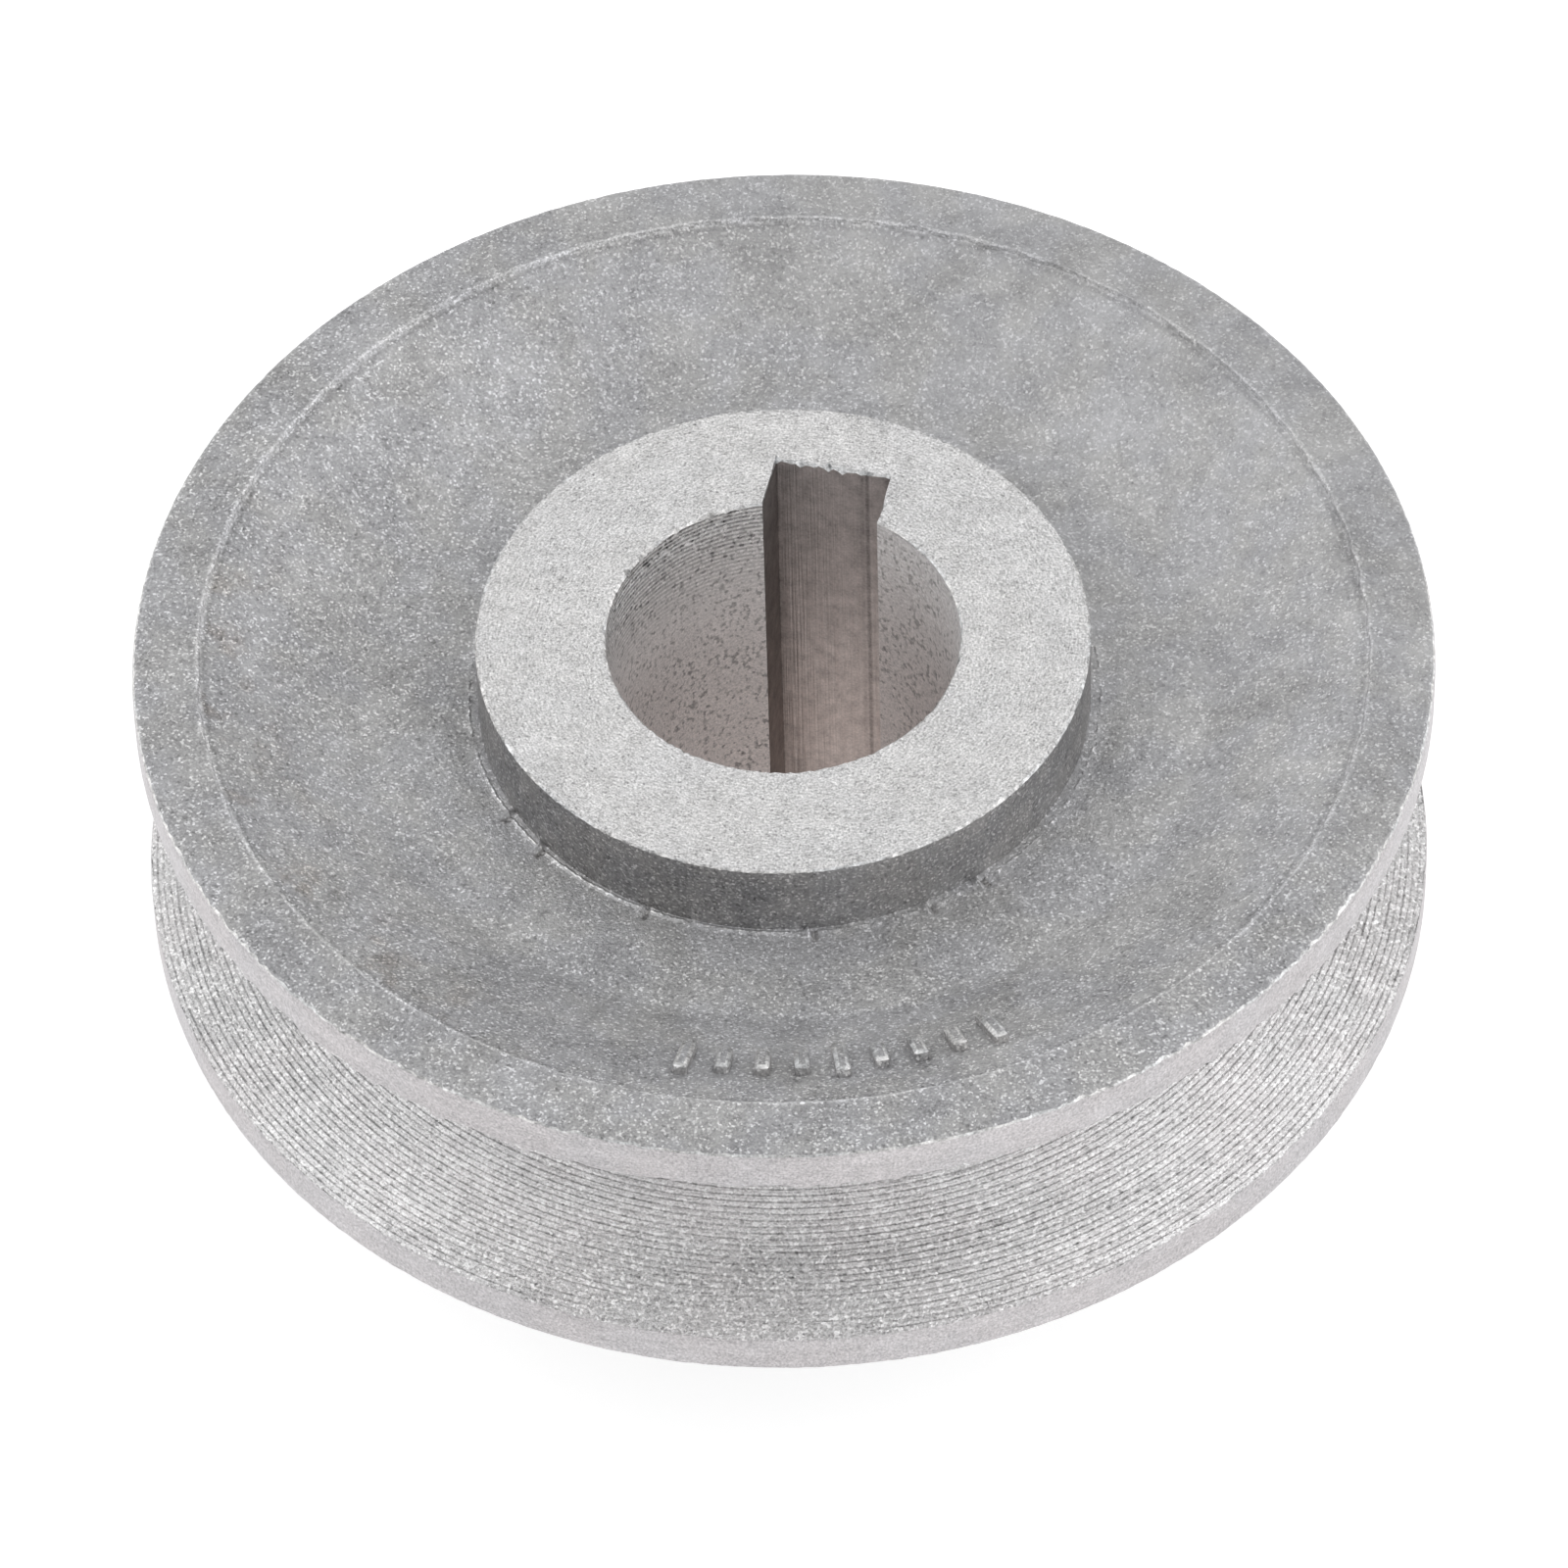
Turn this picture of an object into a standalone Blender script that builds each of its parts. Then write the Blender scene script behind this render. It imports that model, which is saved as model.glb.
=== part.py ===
"""A single-groove V-belt pulley, 55 mm across, cast in aluminium with a long keyed hub, and its hub set screw.

The pulley's axis is +Z. The origin is the centre of the hub's lower end, on which the pulley stands.
The side with the short hub boss is up. The keyway faces +Y, and the set screw points at the axis from +X.
"""

import math

import bmesh
import bpy

MM = 0.001

# Driving dimensions, in metres.
OUTER_RADIUS = 27.5 * MM
RIM_WIDTH = 14.4 * MM
GROOVE_TOP_WIDTH = 10.4 * MM
GROOVE_DEPTH = 9.25 * MM
GROOVE_ANGLE = math.radians(34.0)
RIM_EDGE_BREAK = 0.3 * MM

HUB_LENGTH = 25.0 * MM
HUB_RADIUS = 13.0 * MM
HUB_STANDS_PROUD = 0.5 * MM
HUB_EDGE_BREAK = 0.15 * MM

BORE_RADIUS = 7.5 * MM
BORE_EDGE_BREAK = 0.2 * MM
KEYWAY_WIDTH = 5.0 * MM
KEYWAY_FLOOR_FROM_AXIS = 9.7 * MM

LAND_INNER_RADIUS = 24.7 * MM
LAND_STEP = 0.1 * MM
DISH_FLOOR_RADIUS = 18.1 * MM
DISH_FLOOR_DEPTH = 3.0 * MM
DISH_DEPTH_AT_HUB = 3.2 * MM
FILLET_RADIUS = 0.4 * MM

SCREW_RADIUS = 2.42 * MM
SCREW_LENGTH = 5.0 * MM
SCREW_HOLE_RADIUS = 2.5 * MM
SCREW_END_BREAK = 0.4 * MM
CUP_RADIUS = 1.25 * MM
CUP_DEPTH = 0.6 * MM
SOCKET_ACROSS_FLATS = 2.5 * MM
SOCKET_DEPTH = 2.5 * MM

TURNED_STEPS = 72
SCREW_STEPS = 24
FILLET_STEPS = 3
CUTTER_OVERRUN = 2.0 * MM
SMOOTH_ANGLE = math.radians(30.0)

# Heights that follow from them.
RIM_TOP = HUB_LENGTH - HUB_STANDS_PROUD
RIM_BOTTOM = RIM_TOP - RIM_WIDTH
GROOVE_MIDDLE = RIM_TOP - RIM_WIDTH / 2
GROOVE_ROOT_RADIUS = OUTER_RADIUS - GROOVE_DEPTH
GROOVE_ROOT_WIDTH = GROOVE_TOP_WIDTH - 2 * GROOVE_DEPTH * math.tan(GROOVE_ANGLE / 2)
SCREW_HEIGHT = RIM_BOTTOM / 2


def clear_scene():
    for obj in list(bpy.data.objects):
        bpy.data.objects.remove(obj)


def material(name, colour, metallic, roughness):
    made = bpy.data.materials.new(name)
    made.use_nodes = True
    shader = made.node_tree.nodes["Principled BSDF"]
    shader.inputs["Base Color"].default_value = (*colour, 1.0)
    shader.inputs["Metallic"].default_value = metallic
    shader.inputs["Roughness"].default_value = roughness
    return made


def aluminium():
    return material("cast_aluminium", (0.55, 0.56, 0.56), 0.9, 0.45)


def blackened_steel():
    return material("blackened_steel", (0.04, 0.04, 0.045), 0.9, 0.4)


def add_object(name, mesh, finish):
    made = bpy.data.objects.new(name, mesh)
    bpy.context.scene.collection.objects.link(made)
    if finish:
        mesh.materials.append(finish)
    return made


def fillet(centre_radius, centre_height, radius, start_degrees, end_degrees):
    """Points along an arc in the radius and height plane, both ends included."""
    points = []
    for step in range(FILLET_STEPS + 1):
        angle = math.radians(start_degrees + (end_degrees - start_degrees) * step / FILLET_STEPS)
        height = centre_height + radius * math.sin(angle)
        points.append((centre_radius + radius * math.cos(angle), height))
    return points


def turned(name, profile, steps, finish):
    """A closed outline of (radius, height) points, revolved about Z by a Screw modifier."""
    mesh = bpy.data.meshes.new(name)
    vertices = [(radius, 0.0, height) for radius, height in profile]
    edges = [(i, (i + 1) % len(profile)) for i in range(len(profile))]
    mesh.from_pydata(vertices, edges, [])
    made = add_object(name, mesh, finish)
    screw = made.modifiers.new("revolve", "SCREW")
    screw.axis = "Z"
    screw.angle = 2 * math.pi
    screw.steps = steps
    screw.render_steps = steps
    screw.use_merge_vertices = True
    screw.merge_threshold = 0.01 * MM
    screw.use_smooth_shade = True
    return made


def cutter(name, mesh):
    made = add_object(name, mesh, None)
    made.hide_render = True
    made.display_type = "WIRE"
    return made


def cut(body, tool):
    boolean = body.modifiers.new("cut_" + tool.name, "BOOLEAN")
    boolean.operation = "DIFFERENCE"
    boolean.solver = "EXACT"
    boolean.object = tool


def box_mesh(name, low, high):
    shape = bmesh.new()
    bmesh.ops.create_cube(shape, size=1.0)
    for vertex in shape.verts:
        for axis in range(3):
            vertex.co[axis] = high[axis] if vertex.co[axis] > 0 else low[axis]
    mesh = bpy.data.meshes.new(name)
    shape.to_mesh(mesh)
    shape.free()
    return mesh


def prism_mesh(name, radius, sides, bottom, top):
    """A regular prism along Z, with a corner at +X."""
    shape = bmesh.new()
    bmesh.ops.create_cone(
        shape, cap_ends=True, segments=sides, radius1=radius, radius2=radius, depth=top - bottom
    )
    bmesh.ops.translate(shape, verts=shape.verts, vec=(0.0, 0.0, (top + bottom) / 2))
    mesh = bpy.data.meshes.new(name)
    shape.to_mesh(mesh)
    shape.free()
    return mesh


def upper_face_outline():
    """From the bore's upper edge out over the hub face, the dished web and the land, to the rim."""
    floor = RIM_TOP - DISH_DEPTH_AT_HUB
    return [
        (BORE_RADIUS + BORE_EDGE_BREAK, HUB_LENGTH),
        (HUB_RADIUS - HUB_EDGE_BREAK, HUB_LENGTH),
        (HUB_RADIUS, HUB_LENGTH - HUB_EDGE_BREAK),
        *fillet(HUB_RADIUS + FILLET_RADIUS, floor + FILLET_RADIUS, FILLET_RADIUS, 180, 270),
        (DISH_FLOOR_RADIUS, RIM_TOP - DISH_FLOOR_DEPTH),
        (LAND_INNER_RADIUS, RIM_TOP - LAND_STEP),
        (LAND_INNER_RADIUS, RIM_TOP),
        (OUTER_RADIUS - RIM_EDGE_BREAK, RIM_TOP),
        (OUTER_RADIUS, RIM_TOP - RIM_EDGE_BREAK),
    ]


def groove_outline():
    """Down the V-groove, from the upper flange's lip to the lower flange's."""
    return [
        (OUTER_RADIUS, GROOVE_MIDDLE + GROOVE_TOP_WIDTH / 2),
        (GROOVE_ROOT_RADIUS, GROOVE_MIDDLE + GROOVE_ROOT_WIDTH / 2),
        (GROOVE_ROOT_RADIUS, GROOVE_MIDDLE - GROOVE_ROOT_WIDTH / 2),
        (OUTER_RADIUS, GROOVE_MIDDLE - GROOVE_TOP_WIDTH / 2),
    ]


def lower_face_outline():
    """From the rim in over the lower land and the dished web, and down the long hub to its end."""
    ceiling = RIM_BOTTOM + DISH_DEPTH_AT_HUB
    return [
        (OUTER_RADIUS, RIM_BOTTOM + RIM_EDGE_BREAK),
        (OUTER_RADIUS - RIM_EDGE_BREAK, RIM_BOTTOM),
        (LAND_INNER_RADIUS, RIM_BOTTOM),
        (LAND_INNER_RADIUS, RIM_BOTTOM + LAND_STEP),
        (DISH_FLOOR_RADIUS, RIM_BOTTOM + DISH_FLOOR_DEPTH),
        *fillet(HUB_RADIUS + FILLET_RADIUS, ceiling - FILLET_RADIUS, FILLET_RADIUS, 90, 180),
        (HUB_RADIUS, HUB_EDGE_BREAK),
        (HUB_RADIUS - HUB_EDGE_BREAK, 0.0),
        (BORE_RADIUS + BORE_EDGE_BREAK, 0.0),
    ]


def bore_outline():
    return [
        (BORE_RADIUS, BORE_EDGE_BREAK),
        (BORE_RADIUS, HUB_LENGTH - BORE_EDGE_BREAK),
    ]


def keyway_cutter():
    half = KEYWAY_WIDTH / 2
    low = (-half, 0.0, -CUTTER_OVERRUN)
    high = (half, KEYWAY_FLOOR_FROM_AXIS, HUB_LENGTH + CUTTER_OVERRUN)
    return cutter("keyway_cutter", box_mesh("keyway_cutter", low, high))


def screw_hole_cutter():
    top = HUB_RADIUS + CUTTER_OVERRUN
    mesh = prism_mesh("screw_hole_cutter", SCREW_HOLE_RADIUS, SCREW_STEPS, 0.0, top)
    tool = cutter("screw_hole_cutter", mesh)
    tool.location = (0.0, 0.0, SCREW_HEIGHT)
    tool.rotation_euler = (0.0, math.radians(90.0), 0.0)
    return tool


def pulley_casting():
    """Rim, web and hub are one casting, turned all over except for the two dished webs."""
    outline = upper_face_outline() + groove_outline() + lower_face_outline() + bore_outline()
    casting = turned("pulley_casting", outline, TURNED_STEPS, aluminium())
    cut(casting, keyway_cutter())
    cut(casting, screw_hole_cutter())
    return casting


def screw_outline():
    """The screw stands on its cup point at height 0, with its socket end up."""
    rim = SCREW_RADIUS - SCREW_END_BREAK
    return [
        (0.0, SCREW_LENGTH),
        (rim, SCREW_LENGTH),
        (SCREW_RADIUS, SCREW_LENGTH - SCREW_END_BREAK),
        (SCREW_RADIUS, 2 * SCREW_END_BREAK),
        (CUP_RADIUS + SCREW_END_BREAK / 2, 0.0),
        (CUP_RADIUS, 0.0),
        (0.0, CUP_DEPTH),
    ]


def socket_cutter(parent):
    corner_radius = SOCKET_ACROSS_FLATS / math.sqrt(3.0)
    bottom = SCREW_LENGTH - SOCKET_DEPTH
    mesh = prism_mesh("socket_cutter", corner_radius, 6, bottom, SCREW_LENGTH + CUTTER_OVERRUN)
    tool = cutter("socket_cutter", mesh)
    tool.parent = parent
    return tool


def set_screw():
    """An M5 x 5 hex socket set screw with a cup point, its thread left as a plain cylinder."""
    screw = turned("set_screw", screw_outline(), SCREW_STEPS, blackened_steel())
    screw.location = (BORE_RADIUS, 0.0, SCREW_HEIGHT)
    screw.rotation_euler = (0.0, math.radians(90.0), 0.0)
    cut(screw, socket_cutter(screw))
    return screw


def shade(obj):
    """Marks sharp edges, for the faces that the Screw modifier makes smooth."""
    graph = bpy.context.evaluated_depsgraph_get()
    mesh = bpy.data.meshes.new_from_object(obj.evaluated_get(graph), depsgraph=graph)
    mesh.shade_smooth()
    mesh.set_sharp_from_angle(angle=SMOOTH_ANGLE)
    obj.modifiers.clear()
    obj.data = mesh


def main():
    clear_scene()
    pieces = [pulley_casting(), set_screw()]
    bpy.context.view_layer.update()
    for piece in pieces:
        shade(piece)


main()
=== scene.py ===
"""Looks of the V-belt pulley: one cast and turned aluminium casting, and the set screw in its hub.

The casting is a revolved skin. Its outline is a loop of rings that runs from the bore's upper edge out
over the hub face, the dished web and the land, down the grooved rim, back under the web, down the long hub
and up the bore. Each ring has a point for every column, and columns are doubled where an edge is ragged.

Angles about +Z are in degrees: 0 is +X, where the set screw is, and 90 is +Y, where the keyway is.
"""

import math
from collections import namedtuple

import bmesh
import bpy
import numpy as np
from mathutils import Matrix, Vector, noise


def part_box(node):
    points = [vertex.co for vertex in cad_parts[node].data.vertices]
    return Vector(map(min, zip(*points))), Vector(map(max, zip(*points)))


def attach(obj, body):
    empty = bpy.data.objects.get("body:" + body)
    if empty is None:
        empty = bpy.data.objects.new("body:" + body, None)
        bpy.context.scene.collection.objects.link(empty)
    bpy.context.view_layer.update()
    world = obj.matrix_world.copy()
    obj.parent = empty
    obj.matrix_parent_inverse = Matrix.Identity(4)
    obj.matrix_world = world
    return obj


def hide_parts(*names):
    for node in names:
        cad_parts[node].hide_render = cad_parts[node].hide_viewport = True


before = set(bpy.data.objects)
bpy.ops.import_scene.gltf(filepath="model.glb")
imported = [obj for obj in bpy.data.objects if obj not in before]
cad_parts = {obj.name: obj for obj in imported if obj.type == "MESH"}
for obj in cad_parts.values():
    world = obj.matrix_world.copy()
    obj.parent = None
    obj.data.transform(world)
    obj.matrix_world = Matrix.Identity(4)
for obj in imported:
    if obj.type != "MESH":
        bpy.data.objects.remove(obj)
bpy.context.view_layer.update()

MM = 0.001
SEED = 55

# The casting's driving sizes, read from the frame.
CASTING_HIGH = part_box("pulley_casting")[1]
SCREW_LOW, SCREW_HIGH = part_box("set_screw")
OUTER_RADIUS = CASTING_HIGH.x
HUB_TOP = CASTING_HIGH.z
SCREW_HEIGHT = (SCREW_LOW.z + SCREW_HIGH.z) / 2
SCREW_RADIUS = (SCREW_HIGH.z - SCREW_LOW.z) / 2
SCREW_LENGTH = SCREW_HIGH.x - SCREW_LOW.x
BORE_RADIUS = SCREW_LOW.x

# The other sizes, in metres.
RIM_WIDTH = 14.4 * MM
RIM_TOP = HUB_TOP - 0.5 * MM
RIM_BOTTOM = RIM_TOP - RIM_WIDTH
GROOVE_MIDDLE = (RIM_TOP + RIM_BOTTOM) / 2
GROOVE_HALF_MOUTH = 5.2 * MM
GROOVE_DEPTH = 9.25 * MM
GROOVE_SLOPE = math.radians(17.0)
GROOVE_ROOT_RADIUS = OUTER_RADIUS - GROOVE_DEPTH
GROOVE_HALF_ROOT = GROOVE_HALF_MOUTH - GROOVE_DEPTH * math.tan(GROOVE_SLOPE)
HUB_RADIUS = 13.0 * MM
KEYWAY_HALF_WIDTH = 2.5 * MM
KEYWAY_FLOOR = 9.7 * MM
LAND_INNER_RADIUS = 24.7 * MM
LAND_STEP = 0.1 * MM
DISH_FLOOR_RADIUS = 18.0 * MM
DISH_FLOOR_DEPTH = 3.0 * MM
DISH_DEPTH_AT_HUB = 3.2 * MM
BEAD_RADIUS = 13.3 * MM
TURNING_PITCH = 0.28 * MM
TURNING_DEPTH = 0.075 * MM
BORE_PITCH = 0.25 * MM
BORE_LINES_DEPTH = 5.0 * MM
BORE_LINES_SIDE = 155.0
HOLE_RADIUS = 2.5 * MM
HOLE_THREAD_DEPTH = 0.3 * MM
SCREW_PITCH = 0.8 * MM
THREAD_DEPTH = 0.45 * MM
CUP_RADIUS = 1.25 * MM
CUP_DEPTH = 0.6 * MM
CUP_RIM_RADIUS = 1.34 * MM
TAIL_RADIUS = 1.98 * MM
SOCKET_WIDTH = 2.5 * MM
SOCKET_DEPTH = 2.5 * MM
SOCKET_MOUTH_RADIUS = 1.52 * MM

# The raised bars on the web: every fourth is long.
MARK_RADIUS = 21.7 * MM
MARK_FIRST, MARK_LAST = -88.0, -54.0
MARK_BARS = 9
BAR_HALF_LENGTHS = (1.25 * MM, 0.85 * MM, 0.85 * MM, 0.85 * MM)
BAR_HALF_WIDTH = 0.33 * MM
BAR_HALF_HEIGHT = 0.36 * MM
BAR_RISE = 0.07 * MM
BAR_BEVEL = 0.2 * MM

# The nicks across the bead round the boss's foot.
FLASH_MARKS = (-138.0, -128.0, -104.0, -73.0, -51.0, -40.0)
NICK_OFFSET = 1.1

# The camera: its right-hand side's angle, its height and roll in degrees, and its place in metres.
CAMERA_RIGHT = 14.0
CAMERA_ELEVATION = 49.71
CAMERA_ROLL = -1.616
CAMERA_DISTANCE = 0.42862
CAMERA_OFF_RIGHT = 0.128 * MM
CAMERA_OFF_UP = 5.92 * MM
CAMERA_LENS = 233.29

FLOOR_HALF_WIDTH = 3.0
FLOOR_CLEARANCE = 0.02 * MM
SOFTBOX_SIZE = 0.5
SHARP_ANGLE = math.radians(18.0)
SCREW_SHARP_ANGLE = math.radians(28.0)

# Columns round the axis, counted from +Y, where the keyway is.
COLUMNS = 288
KEYWAY_FLOOR_COLUMNS = 24
KEYWAY_SIDE_COLUMNS = 4
SCREW_COLUMNS = 72

# A ring's radius and height, each one number or one for each column, its level, which is its set of
# columns, and the finish of the strip that starts from it.
Ring = namedtuple("Ring", "radius height level finish")

# The finishes: the casting's eight, in the order of its materials, and the screw's only one.
CAST, WALL, FACE, BAND, FLANK, BORE, KEYWAY, EDGE = range(8)
BLACKENED = 0


# ---------------------------------------------------------------- columns and seeded unevenness

def column_angles():
    """Angles about +Z, in radians, of the usual columns, with one exactly at each corner of the keyway."""
    floor_edge = math.atan2(KEYWAY_HALF_WIDTH, KEYWAY_FLOOR)
    side_edge = math.asin(KEYWAY_HALF_WIDTH / BORE_RADIUS)
    rest = COLUMNS - KEYWAY_FLOOR_COLUMNS - 2 * KEYWAY_SIDE_COLUMNS
    stretches = (
        (-floor_edge, floor_edge, KEYWAY_FLOOR_COLUMNS),
        (floor_edge, side_edge, KEYWAY_SIDE_COLUMNS),
        (side_edge, 2 * math.pi - side_edge, rest),
        (2 * math.pi - side_edge, 2 * math.pi - floor_edge, KEYWAY_SIDE_COLUMNS),
    )
    turns = [np.linspace(a, b, n, endpoint=False) for a, b, n in stretches]
    return math.pi / 2 + np.concatenate(turns)


def doubled(angles):
    """The same angles with one more halfway between each two."""
    following = np.append(angles[1:], angles[0] + 2 * math.pi)
    return np.stack([angles, (angles + following) / 2], axis=1).ravel()


# The levels, which are sets of columns: the usual one, twice as many, four times as many, half as many,
# and the screw's own.
USUAL, DOUBLE, FINEST, COARSE, SCREW = range(5)
ANGLES = {USUAL: column_angles()}
ANGLES[DOUBLE] = doubled(ANGLES[USUAL])
ANGLES[FINEST] = doubled(ANGLES[DOUBLE])
ANGLES[COARSE] = ANGLES[USUAL][::2]
ANGLES[SCREW] = np.linspace(0.0, 2 * math.pi, SCREW_COLUMNS, endpoint=False)


def wobble(level, seed, lowest, highest, size):
    """Smooth unevenness round one ring: waves from lowest to highest per turn, of about the given size."""
    draw = np.random.default_rng(SEED + seed)
    waves = np.arange(lowest, highest + 1)
    heights = draw.normal(0.0, 1.0, len(waves))
    phases = draw.uniform(0.0, 2 * math.pi, len(waves))
    total = (heights[:, None] * np.cos(waves[:, None] * ANGLES[level] + phases[:, None])).sum(axis=0)
    return total * size / math.sqrt(len(waves) / 2)


def speckle(level, seed, size):
    """Unevenness that differs from each column to the next."""
    return np.random.default_rng(SEED + seed).normal(0.0, size, len(ANGLES[level]))


def unevenness(radius, height, level, cell, size):
    """Gentle unevenness of a cast surface: noise in space, with features of about the cell's size."""
    radius = np.broadcast_to(radius, len(ANGLES[level]))
    height = np.broadcast_to(height, len(ANGLES[level]))
    points = zip(radius * np.cos(ANGLES[level]), radius * np.sin(ANGLES[level]), height)
    return size * np.array([noise.noise(Vector(point) / cell) for point in points])


def near(level, degrees, width_degrees):
    """1 at an angle about +Z, falling smoothly towards 0 on both sides, to 0.37 at the width's end."""
    away = np.degrees(ANGLES[level]) - degrees
    away = (away + 180.0) % 360.0 - 180.0
    return np.exp(-((away / width_degrees) ** 2))


# ---------------------------------------------------------------- the casting's outline, as rings

def bore_outline():
    """Radius of the keyed bore at each usual column, and which columns are inside the keyway."""
    away = np.abs((ANGLES[USUAL] - math.pi / 2 + math.pi) % (2 * math.pi) - math.pi)
    floor_edge = math.atan2(KEYWAY_HALF_WIDTH, KEYWAY_FLOOR)
    side_edge = math.asin(KEYWAY_HALF_WIDTH / BORE_RADIUS)
    radius = np.full(COLUMNS, BORE_RADIUS)
    on_side = away < side_edge - 1e-6
    on_floor = away < floor_edge + 1e-6
    radius[on_side] = KEYWAY_HALF_WIDTH / np.sin(np.maximum(away[on_side], floor_edge))
    radius[on_floor] = KEYWAY_FLOOR / np.cos(away[on_floor])
    return radius, on_side


BORE_OUTLINE, IN_KEYWAY = bore_outline()
BORE_FINISH = np.where(IN_KEYWAY | np.roll(IN_KEYWAY, -1), KEYWAY, BORE)


def bore_edge_break():
    """How far the bore's edge is broken: a little, and next to nothing on the broached keyway."""
    return np.where(IN_KEYWAY, 0.02 * MM, 0.04 * MM)


def hub_face_rings():
    """The turned ring face round the bore, with its torn edges."""
    torn = wobble(USUAL, 1, 20, 143, 0.045 * MM) * (1.0 + near(USUAL, 150.0, 50.0))
    torn = np.abs(torn + np.where(IN_KEYWAY, speckle(USUAL, 45, 0.12 * MM), 0.0))
    inner = BORE_OUTLINE + bore_edge_break() + torn
    outer = HUB_RADIUS - 0.10 * MM
    # The torn edges take the bright edge finish: worn metal and painted glints.
    rings = [
        Ring(BORE_OUTLINE, HUB_TOP - bore_edge_break() - torn, USUAL, EDGE),
        Ring(inner, HUB_TOP, USUAL, FACE),
    ]
    for share in (0.04, 0.3, 0.65):
        rings.append(Ring(inner + (outer - inner) * share, HUB_TOP, USUAL, FACE))
    ragged = np.minimum(wobble(DOUBLE, 2, 12, 280, 0.05 * MM), 0.06 * MM)
    rings.append(Ring(outer - 0.5 * MM, HUB_TOP, DOUBLE, FACE))
    rings.append(Ring(outer + ragged, HUB_TOP, DOUBLE, EDGE))
    sunk = np.abs(wobble(DOUBLE, 3, 8, 260, 0.03 * MM))
    rings.append(Ring(HUB_RADIUS - 0.02 * MM, HUB_TOP - 0.05 * MM - sunk, DOUBLE, WALL))
    return rings


def hub_wall_rings():
    """The short boss's wall, as cast."""
    rings = []
    floor = RIM_TOP - DISH_DEPTH_AT_HUB
    for height in np.linspace(HUB_TOP - 0.25 * MM, floor + 0.12 * MM, 6):
        out = unevenness(HUB_RADIUS, height, DOUBLE, 1.5 * MM, 0.02 * MM)
        out += unevenness(HUB_RADIUS, height / 4, DOUBLE, 0.35 * MM, 0.012 * MM)
        rings.append(Ring(HUB_RADIUS - 0.01 * MM + out, height, DOUBLE, WALL))
    return rings


def flash_marks(radius, level):
    """Short radial fins of flash with a nick beside each, as heights of one ring at the boss's foot."""
    along = math.exp(-(((radius - BEAD_RADIUS) / (0.45 * MM)) ** 2))
    total = np.zeros(len(ANGLES[level]))
    for index, degrees in enumerate(FLASH_MARKS):
        total += (0.16 + 0.08 * (index % 2)) * MM * near(level, degrees, 0.5)
        total -= 0.14 * MM * near(level, degrees + NICK_OFFSET, 0.5)
    return total * along


def hub_foot_rings():
    """The corner at the boss's foot, and the thin bead round it: a little off centre, strongest in front,
    bright where it is strong, as worn metal and painted highlight, and cut by the nicks, whose dark finish
    is painted shade."""
    level = FINEST
    floor = RIM_TOP - DISH_DEPTH_AT_HUB
    off_centre = 0.36 * MM * (1.0 - near(level, -92.0, 55.0)) + wobble(level, 48, 30, 300, 0.018 * MM)
    strong = 0.22 + 0.72 * near(level, -116.0, 34.0) + wobble(level, 47, 5, 200, 0.22)
    # The nicks take the dark wall finish as painted shade; the bright bead takes the edge finish, worn
    # metal and painted highlight.
    nicked = sum(near(level, degrees + NICK_OFFSET, 0.6) for degrees in FLASH_MARKS) > 0.4
    plain = np.where(nicked, WALL, CAST)
    bare_and_highlit = strong + wobble(level, 49, 60, 500, 0.25) > 0.66
    bright = np.where(nicked, WALL, np.where(bare_and_highlit, EDGE, CAST))
    rings = [Ring(HUB_RADIUS - 0.01 * MM, floor + 0.01 * MM, level, CAST)]
    # Each ring's distance from the boss and its rise, in mm, and its finish.
    bead = (
        (0.02, 0.0, plain),
        (0.10, 0.06, bright),
        (0.15, 0.08, bright),
        (0.21, 0.05, plain),
        (0.30, 0.0, plain),
        (0.7, 0.0, CAST),
    )
    for away, rise, finish in bead:
        radius = HUB_RADIUS + away * MM + off_centre * (1.0 - away)
        height = floor + rise * MM * strong + flash_marks(float(np.mean(radius)), level)
        rings.append(Ring(radius, height, level, finish))
    return rings


def dish_height(radius):
    """Height of the web from the rim, which is below 0: nearly flat out to a soft kink, then a cone."""
    kink = DISH_FLOOR_RADIUS
    flat = (DISH_DEPTH_AT_HUB - DISH_FLOOR_DEPTH) / (kink - HUB_RADIUS)
    steep = (DISH_FLOOR_DEPTH - LAND_STEP) / (LAND_INNER_RADIUS - kink)
    soft = 0.10 * MM
    beyond = soft * np.log1p(np.exp((radius - kink) / soft))
    return -DISH_DEPTH_AT_HUB + flat * (radius - HUB_RADIUS - beyond) + steep * beyond


def dish_rings(level, face, steps):
    """The web's floor and cone, seen from above for face = 1 and from below for face = -1."""
    rings = []
    base = RIM_TOP if face > 0 else RIM_BOTTOM
    kink = (DISH_FLOOR_RADIUS - 0.15 * MM, DISH_FLOOR_RADIUS, DISH_FLOOR_RADIUS + 0.15 * MM)
    spread = np.linspace(HUB_RADIUS + 1.1 * MM, LAND_INNER_RADIUS - 0.5 * MM, steps)
    for radius in np.sort(np.append(spread, kink)):
        out = unevenness(radius, base, level, 3.0 * MM, 0.05 * MM)
        out += unevenness(radius, base, level, 0.9 * MM, 0.012 * MM)
        rings.append(Ring(radius, base + face * dish_height(radius) + out, level, CAST))
    return rings


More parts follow.
